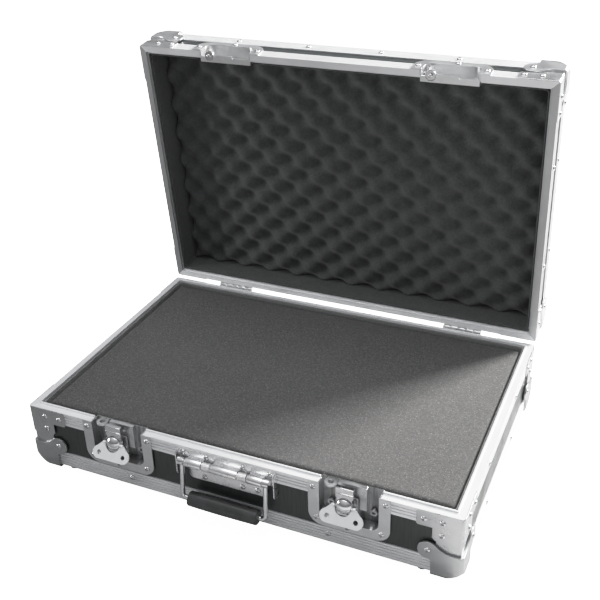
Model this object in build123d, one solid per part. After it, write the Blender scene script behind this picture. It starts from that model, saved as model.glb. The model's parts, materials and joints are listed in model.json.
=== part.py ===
from build123d import *
import math
import os

# Briefcase-size flight case: plywood trays in aluminium extrusions, with two butterfly
# latches, a sprung bail handle, two butt hinges and foam linings.
#
# Frame while building (mm): X across the case with 0 at its middle, Y from the front face (0)
# to the back face, Z up from the outer face of the base floor (0).
# A tray is built with its outer floor face at z = 0 and its mouth at z = height.
# The lid is such a tray turned over, and then swung open about the hinge pins.

os.makedirs("parts", exist_ok=True)

# ---- driving dimensions (mm) ----
WIDTH = 540.0            # outside, across the extrusions
DEPTH = 357.0            # outside, front face to back face
BASE_H = 83.0            # base tray: outer floor face to mouth
LID_H = 56.0             # lid tray: outer top face to mouth
MOUTH_GAP = 0.3          # between the two mouths when shut
OPEN_DEG = 84.0          # lid angle at rest, from shut
PLY = 7.0                # plywood panels
SKIN = 1.5               # aluminium extrusion wall
EDGE_R = 2.5             # outside rounding of the tray's edges
RIM_W = 10.0             # mouth extrusion, across its face
RIM_LEG = 17.5           # mouth extrusion, down the walls
RAIL = 22.0              # edge angle, each leg
POST = 28.0              # corner angle, each leg
FOOT_H = 6.0             # rubber feet
FOOT_R = 6.5

HALF_W = WIDTH / 2
WALL = SKIN + PLY        # outer face to the inside of the plywood
GROOVE_W = 1.6
GROOVE_D = 1.1

# ---- corner hardware ----
CORNER_T = 2.8           # pressed steel ball corner
CORNER_R = 4.5           # rounding of its outer edges
BALL_R = 34.0            # the ball that its point lies on
BALL_AT = 22.0           # the ball's centre, in from the three faces
CORNER_ARM = 32.0
ARM_WAIST_R = 25.0       # hollow between the arm's free edge and the lobe
FOOT_WAIST_R = 4.0       # the same on the other side of the lobe
LOBE_R = 11.5
LOBE_U = 35.5
BASE_LOBE_V = 32.0
LID_LOBE_V = 25.0
FLOOR_LOBE_V = 35.5
BRACE_T = 1.2

# ---- rivets ----
RIVET_R = 3.4
RIVET_H = 1.8
DIMPLE_R = 1.35          # mandrel hole in the head
SHANK_R = 1.95
HOLE_R = 2.0

# ---- latches ----
LATCH_X = 145.5          # dish centres, either side of the middle
MECH_DX = -4.4           # key, hook and slide stand left of the dish centre
DISH_T = 1.2
DISH_HALF = 34.0         # recess, inside
DISH_FLANGE = 47.0
DISH_DEPTH = 12.8        # front face to the recess back wall
DISH_LOW = 36.5          # recess floor
FLANGE_LOW = 24.0
KEY_Z = 61.0             # axis of the turning key
HEAD_TOP = -9.0          # crown of the key's domed head
HEAD_R = 11.0            # radius of the dome
WING_Y = -4.2            # fold pin of the wing
WING_REST_DEG = 34.0     # how far the wing stands out at rest
HOOK_PIN_Y = 0.6
HOOK_PIN_Z = 47.3
HOOK_TOP = 84.0
CAM_THROW = 3.5
LID_DISH_H = 21.5        # recess in the lid, up from the mouth
LID_FLANGE_H = 29.5

# ---- handle ----
BARREL_Y = -6.75
BARREL_Z = 67.0
BARREL_R = 5.25
SPRING_R = 5.1
BAIL_R = 2.8
BAIL_ARM_X = 52.7
GRIP_Y = -12.0
GRIP_Z = 19.0
GRIP_R = 9.5
GRIP_L = 88.0
BAIL_DX = -2.0           # the bail hangs to the left in its barrels
PLATE_HALF = 61.7        # handle plate, out to its cheeks

# ---- hinges ----
HINGE_X = 172.0
HINGE_Y = DEPTH + 3.8
HINGE_Z = BASE_H + MOUTH_GAP / 2
HINGE_W = 52.0
KNUCKLE_R = 3.4
PIN_R = 1.5

# ---- foam ----
LINER_IN = 10.6
LINER_T = 2.6
FOAM_TOP = 80.0


# ---------------------------------------------------------------- helpers
def box(x0, x1, y0, y1, z0, z1):
    """A box from its limits."""
    size = Box(x1 - x0, y1 - y0, z1 - z0)
    return Pos((x0 + x1) / 2, (y0 + y1) / 2, (z0 + z1) / 2) * size


def rod_x(y, z, r, x0, x1):
    """A cylinder along X."""
    return Pos((x0 + x1) / 2, y, z) * Rot(0, 90, 0) * Cylinder(r, x1 - x0)


def rod_y(x, z, r, y0, y1):
    """A cylinder along Y."""
    return Pos(x, (y0 + y1) / 2, z) * Rot(90, 0, 0) * Cylinder(r, y1 - y0)


def rod_z(x, y, r, z0, z1):
    """A cylinder along Z."""
    return Pos(x, y, (z0 + z1) / 2) * Cylinder(r, z1 - z0)


def plate_xz(outline, y0, y1):
    """A plate whose outline is a list of (x, z) points, from y0 to y1."""
    face = Plane.XZ * make_face(Polyline(*outline, close=True))
    return Pos(0, y1, 0) * extrude(face, y1 - y0)


def plate_yz(outline, x0, x1):
    """A plate whose outline is a list of (y, z) points, from x0 to x1."""
    face = Plane.YZ * make_face(Polyline(*outline, close=True))
    return Pos(x0, 0, 0) * extrude(face, x1 - x0)


def mirrored_x(shape):
    """The same shape on the other side of the middle."""
    return mirror(shape, Plane.YZ)


def mirrored_y(shape):
    """The same shape at the other end of the depth."""
    return Pos(0, DEPTH, 0) * mirror(shape, Plane.XZ)


def four(shape):
    """A corner piece and its three mirror images."""
    pair = [shape, mirrored_x(shape)]
    return pair + [mirrored_y(s) for s in pair]


def near(a, b, gap=0.5):
    """Whether two shapes' boxes come within a gap of each other."""
    p, q = a.bounding_box(), b.bounding_box()
    apart = (
        p.min.X > q.max.X + gap or q.min.X > p.max.X + gap
        or p.min.Y > q.max.Y + gap or q.min.Y > p.max.Y + gap
        or p.min.Z > q.max.Z + gap or q.min.Z > p.max.Z + gap
    )
    return not apart


def cut(shape, tools):
    """The shape less those tools that reach it."""
    reach = [t for t in tools if near(shape, t)]
    return shape - reach if reach else shape


# ---------------------------------------------------------------- rivets
def rivet_solid(lift, depth):
    """A domed blind rivet on Z: head standing on z = lift, shank down to z = -depth."""
    with BuildSketch(Plane.XZ) as profile:
        with BuildLine():
            Polyline(
                (RIVET_R, lift), (SHANK_R, lift), (SHANK_R, -depth), (0, -depth),
                (0, lift + 0.4), (DIMPLE_R, lift + 0.4), (DIMPLE_R + 0.15, lift + RIVET_H),
            )
            ThreePointArc((DIMPLE_R + 0.15, lift + RIVET_H), (2.75, lift + 1.25), (RIVET_R, lift))
        make_face()
    return revolve(profile.sketch, Axis.Z)


def on_face(face, a, b):
    """The place on a tray's face with +Z outwards: a, b are x,z or y,z or x,y."""
    places = {
        "front": Pos(a, 0, b) * Rot(90, 0, 0),
        "back": Pos(a, DEPTH, b) * Rot(-90, 0, 0),
        "left": Pos(-HALF_W, a, b) * Rot(0, -90, 0),
        "right": Pos(HALF_W, a, b) * Rot(0, 90, 0),
        "floor": Pos(a, b, 0) * Rot(180, 0, 0),
    }
    return places[face]


def rivets(spots, depth=WALL):
    """Rivets and their holes at (face, a, b, lift) spots."""
    solids = []
    holes = []
    for face, a, b, lift in spots:
        place = on_face(face, a, b)
        solids.append(place * rivet_solid(lift, depth))
        holes.append(place * Pos(0, 0, -depth / 2) * Cylinder(HOLE_R, depth + 8))
    return solids, holes


# ---------------------------------------------------------------- tray
def envelope(height, grow, radius=None):
    """The tray's outside, grown by a distance, with every edge but the mouth's rounded."""
    block = box(-HALF_W - grow, HALF_W + grow, -grow, DEPTH + grow, -grow, height)
    edges = block.edges().filter_by_position(Axis.Z, -grow - 1, height - 1)
    return fillet(edges, radius or EDGE_R + grow)


def mitred(front_run):
    """A front run cut at 45 degrees where it meets the side runs."""
    reach = 30
    plan = Polyline(
        (-HALF_W - 5, -5), (HALF_W + 5, -5), (HALF_W - reach, reach),
        (-HALF_W + reach, reach), close=True,
    )
    return front_run & extrude(make_face(plan), 2 * BASE_H)


def rim_section(height, is_base):
    """Mouth extrusion across (distance in, z): a channel over the plywood's edge."""
    low = height - RIM_LEG
    outer = box(0, 1, 0, SKIN, low, height)
    grooves = [
        box(0, 1, 0, GROOVE_D, height - z - GROOVE_W, height - z) for z in (4.2, 8.2, 12.2)
    ]
    if is_base:
        top = box(0, 1, 0, RIM_W, height - SKIN, height)
        inner = box(0, 1, WALL, RIM_W, low, height)
        tongue = box(0, 1, WALL - 0.3, RIM_W, height, height + 2)
        return outer + top + inner + tongue - grooves
    step = 2.4
    top = box(0, 1, 0, 7.6, height - SKIN, height)
    wall = box(0, 1, 6.1, 7.6, height - step - SKIN, height)
    shelf = box(0, 1, 6.1, RIM_W, height - step - SKIN, height - step)
    inner = box(0, 1, WALL, RIM_W, low, height - step)
    return outer + top + wall + shelf + inner - grooves


def rims(height, is_base):
    """Front, back and side runs of the mouth extrusion."""
    section = rim_section(height, is_base)
    profile = section.faces().sort_by(Axis.X)[-1]
    round_off = envelope(height + 5, 0)
    long_run = Pos(-HALF_W - 1, 0, 0) * extrude(profile, WIDTH, dir=(1, 0, 0))
    front = mitred(long_run) & round_off
    side_plan = Polyline(
        (-HALF_W - 5, -5), (-HALF_W + 30, 30), (-HALF_W + 30, DEPTH - 30),
        (-HALF_W - 5, DEPTH + 5), close=True,
    )
    run = Pos(-HALF_W, DEPTH, 0) * Rot(0, 0, -90) * Pos(-1, 0, 0) * extrude(
        profile, DEPTH, dir=(1, 0, 0)
    )
    left = run & extrude(make_face(side_plan), 2 * BASE_H) & round_off
    slots = [
        box(s * LATCH_X - DISH_HALF - 1.6, s * LATCH_X + DISH_HALF + 1.6, -1, 12, 0, height + 5)
        for s in (-1, 1)
    ]
    return front - slots, mirrored_y(front), left + mirrored_x(left)


def shell_pieces(height):
    """Edge angles and corner angles: the aluminium skin over the tray's edges."""
    skin = envelope(height, 0) - envelope(height, -SKIN)
    steps = (6.0, 10.0, 14.0, 18.0)
    half = HALF_W - 6
    front = skin & box(-half, half, -1, RAIL, -1, RAIL)
    front -= [box(-half, half, -1, GROOVE_D, z, z + GROOVE_W) for z in steps]
    front -= [box(-half, half, y, y + GROOVE_W, -1, GROOVE_D) for y in steps]
    side_y0 = RAIL + 0.1
    side_y1 = DEPTH - side_y0
    left = skin & box(-HALF_W - 1, -HALF_W + RAIL, side_y0, side_y1, -1, RAIL)
    side_grooves = [
        box(-HALF_W - 1, -HALF_W + GROOVE_D, side_y0, side_y1, z, z + GROOVE_W) for z in steps
    ]
    under_grooves = [
        box(-HALF_W + s, -HALF_W + s + GROOVE_W, side_y0, side_y1, -1, GROOVE_D) for s in steps
    ]
    left = left - side_grooves - under_grooves
    post_top = height - RIM_LEG - 0.1
    post = skin & box(-HALF_W - 1, -HALF_W + POST, -1, POST, RAIL + 0.1, post_top)
    trims = corner_trims()
    front, left, post = cut(front, trims), cut(left, trims), cut(post, trims)
    return front, mirrored_y(front), [left, mirrored_x(left)], four(post)


def panels(height, panel_top):
    """Plywood: floor, front, back and the two sides."""
    core = envelope(height, -SKIN)
    x1 = HALF_W - WALL
    y1 = DEPTH - WALL
    floor = core & box(-x1, x1, WALL, y1, SKIN, WALL)
    trims = corner_trims()
    front = cut(core & box(-HALF_W, HALF_W, 0, WALL, 0, panel_top), trims)
    left = cut(core & box(-HALF_W, -x1, WALL, y1, 0, panel_top), trims)
    return floor, front, mirrored_y(front), [left, mirrored_x(left)]


def corner_outline(lobe_v):
    """Ball corner, one face, in (u, v) from the tray's corner: a square arm and a round lobe."""
    arm = Pos(CORNER_ARM / 2 - 2, CORNER_ARM / 2 - 2) * Rectangle(CORNER_ARM + 4, CORNER_ARM + 4)
    if lobe_v < BASE_LOBE_V:
        arm = Pos(CORNER_ARM / 2 - 2, lobe_v / 2 - 2) * Rectangle(CORNER_ARM + 4, lobe_v + 4)
    lobe = Pos(LOBE_U, lobe_v) * Circle(LOBE_R)
    shape = arm + lobe
    for upper, radius in ((True, ARM_WAIST_R), (False, FOOT_WAIST_R)):
        waists = [
            v for v in shape.vertices()
            if abs(math.hypot(v.X - LOBE_U, v.Y - lobe_v) - LOBE_R) < 0.01
            and v.X < LOBE_U and (v.X < CORNER_ARM - 1) == upper and (upper or v.Y < lobe_v)
        ]
        if waists:
            shape = fillet(waists, radius)
    return shape


def corner_trims(grow=0.0):
    """What a ball, or one grown by a distance, leaves off the tray's four lower corners."""
    cube = box(-HALF_W - 5, BALL_AT - HALF_W, -5, BALL_AT, -5, BALL_AT)
    ball = Pos(BALL_AT - HALF_W, BALL_AT, BALL_AT) * Sphere(BALL_R - CORNER_T + grow)
    return four(cube - ball)


def ball_corner(height, lobe_v):
    """Pressed corner at the front left of the tray's floor."""
    near_corner = box(-HALF_W - 4, -HALF_W + 60, -4, 60, -4, height - 5)
    shell = (envelope(height, CORNER_T, CORNER_R) & near_corner) - corner_trims(CORNER_T)[0]
    shell -= envelope(height, 0) - corner_trims()[0]
    deep = 15
    wall_face = corner_outline(lobe_v)
    floor_face = corner_outline(FLOOR_LOBE_V)
    front = Pos(-HALF_W, deep, 0) * extrude(Plane.XZ * wall_face, 2 * deep)
    side = Pos(-HALF_W + deep, 0, 0) * extrude(Plane.YZ * wall_face, -2 * deep)
    under = Pos(-HALF_W, 0, -deep) * extrude(floor_face, 2 * deep)
    return shell & (front + side + under)


def brace_outline(height, is_base):
    """Rim brace, one face, in (u, z) from the tray's corner."""
    top = height
    low = height - 20
    if is_base:
        return [
            (-3, top), (48, top), (50, top - 2), (50, low + 2), (48, low), (32.3, low),
            (32.3, top - 33), (29, top - 36.5), (-3, top - 36.5),
        ]
    return [(-3, top), (46, top), (48, top - 2), (48, low + 3.5), (46, low + 1.5), (-3, low + 1.5)]


def brace(height, is_base):
    """Thin steel brace wrapped round the mouth's front left corner."""
    shell = envelope(height, BRACE_T) - envelope(height, 0)
    outline = brace_outline(height, is_base)
    deep = 8
    front = Pos(-HALF_W, 0, 0) * plate_xz(outline, -3, deep)
    side = plate_yz(outline, -HALF_W - 3, -HALF_W + deep)
    return shell & (front + side)


def corner_spots(height, is_base):
    """Rivet spots of all braces and ball corners of a tray."""
    brace_uz = [(41.9, height - 10.6), (21.5, height - 10.6)]
    if is_base:
        brace_uz.append((21.6, height - 27.9))
    lobe_v = BASE_LOBE_V if is_base else LID_LOBE_V
    spots = []
    for face, span in (("front", 0), ("back", 0), ("left", 1), ("right", 1)):
        for u, z in brace_uz + [(LOBE_U + 0.5, lobe_v + 0.5)]:
            lift = CORNER_T if z < BASE_LOBE_V + 1 and u > 30 and z < height - 20 else BRACE_T
            ends = (u, DEPTH - u) if span else (HALF_W - u, u - HALF_W)
            spots += [(face, end, z, lift) for end in ends]
    for x in (HALF_W - LOBE_U, LOBE_U - HALF_W):
        for y in (FLOOR_LOBE_V, DEPTH - FLOOR_LOBE_V):
            spots.append(("floor", x, y, CORNER_T))
    return spots


def edge_spots(xs, ys, z=13.0):
    """Rivet spots along the edge angles: on the walls and under the floor."""
    spots = [(face, x, z, 0) for face in ("front", "back") for x in xs]
    spots += [(face, y, z, 0) for face in ("left", "right") for y in ys]
    spots += [("floor", x, y, 0) for x in xs for y in (z, DEPTH - z)]
    spots += [("floor", x, y, 0) for x in (z - HALF_W, HALF_W - z) for y in ys]
    return spots


def rim_spots(height, xs, ys):
    """Rivet spots along the mouth extrusion."""
    z = height - 10.6
    spots = [("back", x, z, 0) for x in xs]
    spots += [(face, y, z, 0) for face in ("left", "right") for y in ys]
    return spots


def liner(height, top):
    """Thin foam lining round the inside of the tray's walls, let out round the latch dishes."""
    a = LINER_IN
    b = LINER_IN + LINER_T
    ring = box(a - HALF_W, HALF_W - a, a, DEPTH - a, WALL + 0.2, top)
    ring -= box(b - HALF_W, HALF_W - b, b, DEPTH - b, 0, top + 1)
    notches = [
        box(s * LATCH_X - 36.5, s * LATCH_X + 36.5, 9, b + 0.5, 20, top + 1) for s in (-1, 1)
    ]
    return ring - notches


# ---------------------------------------------------------------- latches, base side
def rounded_corners(shape, x, z, r):
    """Round the edges along Y that lie at (+-x, z)."""
    edges = [
        e for e in shape.edges().filter_by(Axis.Y)
        if abs(abs(e.center().X) - x) < 0.01 and abs(e.center().Z - z) < 0.01
    ]
    return fillet(edges, r)


def dish_body(low, flange_low, depth, top):
    """Pressed steel tray with a flange: centred on x = 0, open at the front and at the mouth."""
    t = DISH_T
    flange = rounded_corners(box(-DISH_FLANGE, DISH_FLANGE, -t, 0, flange_low, top),
                             DISH_FLANGE, flange_low, 17)
    outer_x = DISH_HALF + t
    shell = rounded_corners(box(-outer_x, outer_x, -t, depth + t, low - t, top), outer_x, low - t, 11.2)
    hollow = rounded_corners(box(-DISH_HALF, DISH_HALF, -t - 1, depth, low, top + 1), DISH_HALF, low, 10)
    return flange + shell - hollow


def socket_ring():
    """Ring at the mouth that takes the lid's locating pin."""
    x = -22.7
    y = 5.8
    ring = rod_z(x, y, 7.0, BASE_H - 2.5, BASE_H)
    ring += box(x - 6, x + 6, y, DISH_DEPTH + 0.1, BASE_H - 2.5, BASE_H)
    return ring - rod_z(x, y, 3.3, BASE_H - 4, BASE_H + 1)


def latch_dish():
    """Base dish with its locating socket and the two stub bosses on its back wall."""
    dish = dish_body(DISH_LOW, FLANGE_LOW, DISH_DEPTH, BASE_H) + socket_ring()
    for x in (-24, 25):
        stub = rod_y(x, 51.5, 4.2, DISH_DEPTH - 4, DISH_DEPTH + 0.1)
        stub -= rod_y(x, 51.5, 1.8, DISH_DEPTH - 5, DISH_DEPTH - 2)
        dish += stub
    return dish


def latch_housing():
    """Folded cover that the key turns in: front plate with the key's bore, top and two side walls."""
    t = 1.2
    front_y = 8.4
    left = -15.4
    right = 17.2
    low = 52.0
    top = BASE_H - 0.2
    cover = box(left, right, front_y, front_y + t, low, top)
    cover += box(left, left + t, front_y, DISH_DEPTH, low, top)
    cover += box(right - t, right, front_y, DISH_DEPTH, low, top)
    cover += box(left, right, front_y, DISH_DEPTH, top - t, top)
    return cover - rod_y(MECH_DX, KEY_Z, 4.06, 0, DISH_DEPTH)


def latch_slide():
    """Plate lifted by the key's cam, with two ears and the pin that the hook swings on."""
    y0 = 5.2
    y1 = 6.6
    plate = box(-13, 13, y0, y1, 44.8, 68.5)
    cam_z = KEY_Z - CAM_THROW
    plate -= box(-10.2, 10.2, 0, 10, cam_z - 7.6, cam_z + 7.6)
    for side in (-1, 1):
        x0 = min(side * 9.3, side * 10.7)
        plate += box(x0, x0 + 1.4, -1.2, y0 + 0.1, 45.5, 49.1)
    plate += rod_x(HOOK_PIN_Y, HOOK_PIN_Z, 1.2, -10.5, 10.5)
    return Pos(MECH_DX, 0, 0) * plate


def latch_hook():
    """Strap with a bent claw, hung on the slide's pin, with a window for the key's neck."""
    t = 1.2
    y0 = -2.0
    y1 = y0 + t
    strap = box(-8.5, 8.5, y0, y1, HOOK_PIN_Z, 72) + box(-10, 10, y0, y1, 71, HOOK_TOP)
    strap += box(-10, 10, y0, 2.6, HOOK_TOP - t, HOOK_TOP)
    strap += rod_x(y0 + 0.4, 76.0, 1.3, -10, 10)
    strap += rod_x(HOOK_PIN_Y, HOOK_PIN_Z, 2.1, -8.5, 8.5)
    strap -= box(-4.8, 4.8, y0 - 1, y1 + 0.01, 49.6, 65.8)
    strap -= rod_x(HOOK_PIN_Y, HOOK_PIN_Z, 1.26, -9, 9)
    bend = [
        e for e in strap.edges().filter_by(Axis.X)
        if abs(e.center().Y - y0) < 0.01 and abs(e.center().Z - HOOK_TOP) < 0.01
    ]
    strap = fillet(bend, 1.0)
    return Pos(MECH_DX, 0, 0) * strap


def latch_key():
    """Domed key head on a neck with the cam, the keeper washer and the wing's fold pin."""
    neck = rod_y(0, KEY_Z, 4.0, -3.0, 11.4)
    keeper = rod_y(0, KEY_Z, 7.0, 10.2, 11.4)
    cam = rod_y(0, KEY_Z - CAM_THROW, 6.5, 5.3, 6.5)
    ball = Pos(0, HEAD_TOP + HEAD_R, KEY_Z) * Rot(90, 0, 0) * Sphere(HEAD_R)
    head = ball & rod_y(0, KEY_Z, 9.3, HEAD_TOP - 1.0, -2.5)
    pin = rod_x(WING_Y, KEY_Z, 1.0, -13.4, 13.4)
    return Pos(MECH_DX, 0, 0) * (neck + keeper + cam + head + pin)


def wing_outline():
    """Wing in (x, z) hanging from its fold pin at z = 0: two lobes and a straight foot."""
    lobe_x = 17.0
    lobe_z = -12.5
    lobe_r = 7.8
    body = make_face(Polyline(
        (-14.2, 0.6), (-9.6, 0.6), (9.6, 0.6), (14.2, 0.6), (24.3, -9.8),
        (lobe_x, lobe_z - lobe_r), (-lobe_x, lobe_z - lobe_r), (-24.3, -9.8), close=True,
    ))
    lobes = [Pos(s * lobe_x, lobe_z) * Circle(lobe_r) for s in (-1, 1)]
    holes = [Pos(s * 16.4, lobe_z - 0.3) * Circle(2.8) for s in (-1, 1)]
    return body + lobes - holes - Circle(10.0)


def latch_wing():
    """Folding butterfly wing on the key's pin, standing out by its rest angle."""
    t = 1.9
    plate = Pos(0, t / 2, 0) * extrude(Plane.XZ * wing_outline(), t)
    for side in (-1, 1):
        x0 = min(side * 10.1, side * 13.6)
        plate += rod_x(0, 0, 1.9, x0, x0 + 3.5)
    plate -= rod_x(0, 0, 1.06, -15, 15)
    swung = Rot(-WING_REST_DEG, 0, 0) * plate
    return Pos(MECH_DX, WING_Y, KEY_Z) * swung


def dish_spots():
    """Rivets through the base dish flanges."""
    spots = []
    for s in (-1, 1):
        c = s * LATCH_X
        spots += [("front", c + x, z, DISH_T) for x, z in (
            (-41.3, 75.5), (41.3, 75.5), (-37.3, 34.0), (37.3, 34.0), (-1.0, 30.2),
        )]
    return spots


# ---------------------------------------------------------------- latches, lid side
def lid_dish():
    """Lid dish in the turned-over tray's frame: recess at the mouth, shelf and catch tab."""
    low = LID_H - LID_DISH_H
    dish = dish_body(low, LID_H - LID_FLANGE_H, DISH_DEPTH, LID_H)
    shelf_y = 6.6
    dish += box(-DISH_HALF - 0.1, DISH_HALF + 0.1, shelf_y, DISH_DEPTH + 0.1, LID_H - DISH_T, LID_H)
    dish -= rod_z(-22.7, 5.8, 6.6, LID_H - 3, LID_H + 1)
    tab_x = (-13.0, 11.5)
    drop = 1.3 + DISH_T
    dish += box(tab_x[0], tab_x[1], shelf_y, shelf_y + DISH_T, LID_H - 0.5, LID_H + drop)
    dish += box(tab_x[0], tab_x[1], 3.2, shelf_y + DISH_T, LID_H + 1.3, LID_H + drop)
    back = DISH_DEPTH + 0.1
    dish += box(-30.5, -14.9, 4, back, LID_H - 4.5, LID_H - 3.2)
    return dish


def locating_pin():
    """Pin under the lid that drops into the base socket, in the turned-over tray's frame."""
    pin = rod_z(-22.7, 5.8, 6.0, LID_H - 3.1, LID_H - 0.6) + rod_z(-22.7, 5.8, 2.7, LID_H - 1, LID_H + 2.4)
    tip = pin.edges().filter_by(GeomType.CIRCLE).sort_by(Axis.Z)[-1]
    return fillet(tip, 1.2)


def lid_dish_spots():
    """Rivets through the lid dish flanges, in the turned-over tray's frame."""
    spots = []
    for s in (-1, 1):
        c = s * LATCH_X
        spots += [("front", c + x, LID_H - n, DISH_T) for x, n in ((-41.0, 10.5), (41.0, 10.5), (3.0, 25.8))]
    return spots


# ---------------------------------------------------------------- handle
def handle_plate():
    """Riveted plate with end cheeks and the rolled barrel that carries the bail."""
    t = 1.2
    plate = box(-PLATE_HALF, PLATE_HALF, -t, 0, 60, 80) + box(-50, 50, -t, 0, 41.5, 60.5)
    corners = [
        e for e in plate.edges().filter_by(Axis.Y)
        if abs(abs(e.center().X) - 50) < 0.01 and abs(e.center().Z - 41.5) < 0.01
    ]
    plate = fillet(corners, 6)
    cheek = [(0, 80), (-7.5, 80), (-9, 77), (-9, 51), (-7, 47.5), (-4, 46.5), (0, 46.5)]
    for x0 in (-PLATE_HALF, PLATE_HALF - t):
        plate += plate_yz(cheek, x0, x0 + t)
    for x0, x1 in ((-49.4, -29), (-17, 16), (29, 47.2)):
        plate += rod_x(BARREL_Y, BARREL_Z, BARREL_R, x0, x1)
        plate += box(x0, x1, -3.5, -0.5, BARREL_Z - 3.2, BARREL_Z + 3.2)
    return plate - rod_x(BARREL_Y, BARREL_Z, BAIL_R + 0.07, -60, 60)


def handle_bail():
    """Bent steel rod: axle, two arms and the bar inside the grip, with an eye at each end."""
    bend = 5.6
    arm_x = BAIL_ARM_X
    path = FilletPolyline(
        (-arm_x, BARREL_Y, BARREL_Z), (-arm_x, GRIP_Y, GRIP_Z),
        (arm_x, GRIP_Y, GRIP_Z), (arm_x, BARREL_Y, BARREL_Z), radius=bend,
    )
    start = Plane(origin=path @ 0, z_dir=path % 0)
    rod = sweep(start * Circle(BAIL_R), path)
    rod += rod_x(BARREL_Y, BARREL_Z, BAIL_R, -arm_x, arm_x)
    for x0 in (-57.0, 49.8):
        rod += rod_x(BARREL_Y, BARREL_Z, 4.9, x0, x0 + 7.2)
    return Pos(BAIL_DX, 0, 0) * rod


def handle_grip():
    """Moulded grip round the bail's bar, a little fuller in the middle, with a through bore."""
    half = GRIP_L / 2
    with BuildSketch(Plane.XZ) as profile:
        with BuildLine():
            Polyline((7.4, -half), (BAIL_R + 0.05, -half), (BAIL_R + 0.05, half), (7.4, half))
            ThreePointArc((7.4, half), (8.5, half - 0.5), (9.0, half - 1.8))
            ThreePointArc((9.0, half - 1.8), (GRIP_R, 0), (9.0, 1.8 - half))
            ThreePointArc((9.0, 1.8 - half), (8.5, 0.5 - half), (7.4, -half))
        make_face()
    body = revolve(profile.sketch, Axis.Z)
    return Pos(BAIL_DX, GRIP_Y, GRIP_Z) * Rot(0, 90, 0) * body


def handle_springs():
    """Torsion springs in the barrel's two gaps: plain tubes in place of the wound wire."""
    springs = []
    for x0 in (-28.6, 17.0):
        tube = rod_x(BARREL_Y, BARREL_Z, SPRING_R, x0, x0 + 11.2)
        springs.append(tube - rod_x(BARREL_Y, BARREL_Z, 3.1, x0 - 1, x0 + 13))
    return springs


def handle_spots():
    """Rivets through the handle plate."""
    spots = [("front", x, 75.2, 1.2) for x in (-56.0, -26, 20, 53)]
    return spots + [("front", x, z, 1.2) for x, z in ((-29.5, 46.6), (19, 48), (38, 48.4))]


# ---------------------------------------------------------------- hinges
BASE_KNUCKLES = ((-26.0, -15.7), (-5.05, 5.05), (15.7, 26.0))
LID_KNUCKLES = ((-15.4, -5.35), (5.35, 15.4))


def hinge_leaf(knuckles, z_far, z_near):
    """A leaf on the back face with its knuckles on the pin axis."""
    low, high = sorted((z_far, z_near))
    half = HINGE_W / 2
    t = 1.5
    leaf = box(-half, half, DEPTH, DEPTH + t, low, high)
    web_low, web_high = sorted((z_near, HINGE_Z))
    for x0, x1 in knuckles:
        leaf += box(x0, x1, DEPTH, DEPTH + t, web_low, web_high)
        leaf += rod_x(HINGE_Y, HINGE_Z, KNUCKLE_R, x0, x1)
    return leaf - rod_x(HINGE_Y, HINGE_Z, PIN_R + 0.06, -half - 1, half + 1)


def hinge_base_leaf():
    """Base leaf with the bent stop that the lid's leaf comes down on when it is open."""
    leaf = hinge_leaf(BASE_KNUCKLES, 50.0, HINGE_Z - 3.85)
    y = DEPTH + 1.4
    stop = [
        (y, 62.0), (y + 1.1, 62.0), (HINGE_Y + 6.6, 76.0), (HINGE_Y + 6.6, 85.7),
        (HINGE_Y + 5.0, 85.7), (HINGE_Y + 5.0, 77.0), (y, 66.0),
    ]
    return leaf + plate_yz(stop, -8, 8)


def hinge_lid_leaf():
    """Lid leaf, in the shut position."""
    return hinge_leaf(LID_KNUCKLES, 116.0, HINGE_Z + 3.85)


def hinge_spots():
    """Rivets of the base leaves."""
    return [
        ("back", s * HINGE_X + x, z, 1.5) for s in (-1, 1) for x in (-17, 17) for z in (56.5, 72.4)
    ]


def hinge_lid_spots():
    """Rivets of the lid leaves, in the turned-over tray's frame."""
    return [
        ("back", s * HINGE_X + x, LID_H - n, 1.5) for s in (-1, 1) for x in (-17, 17) for n in (10.6, 26.5)
    ]


# ---------------------------------------------------------------- feet
FOOT_AT = [(x, y) for x in (-226.0, 226.0) for y in (12.0, DEPTH - 12.0)]


def rubber_feet():
    """Rubber feet, each with a counterbore for its screw."""
    feet = []
    for x, y in FOOT_AT:
        foot = Pos(x, y, -FOOT_H) * Cone(
            FOOT_R, FOOT_R + 1, FOOT_H, align=(Align.CENTER, Align.CENTER, Align.MIN)
        )
        foot -= rod_z(x, y, 3.9, -FOOT_H - 1, -2.6) + rod_z(x, y, HOLE_R, -3, 1)
        feet.append(foot)
    return feet


def foot_screws():
    """Pan-head screws up through the feet into the floor."""
    screws = []
    for x, y in FOOT_AT:
        head = rod_z(x, y, 3.6, -4.6, -2.6) - box(x - 2.6, x + 2.6, y - 0.4, y + 0.4, -5, -3.9)
        screws.append(head + rod_z(x, y, 1.9, -2.7, 7.8))
    return screws


def foot_holes():
    """Holes for the foot screws."""
    return [rod_z(x, y, HOLE_R, -1, 8.0) for x, y in FOOT_AT]


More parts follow.
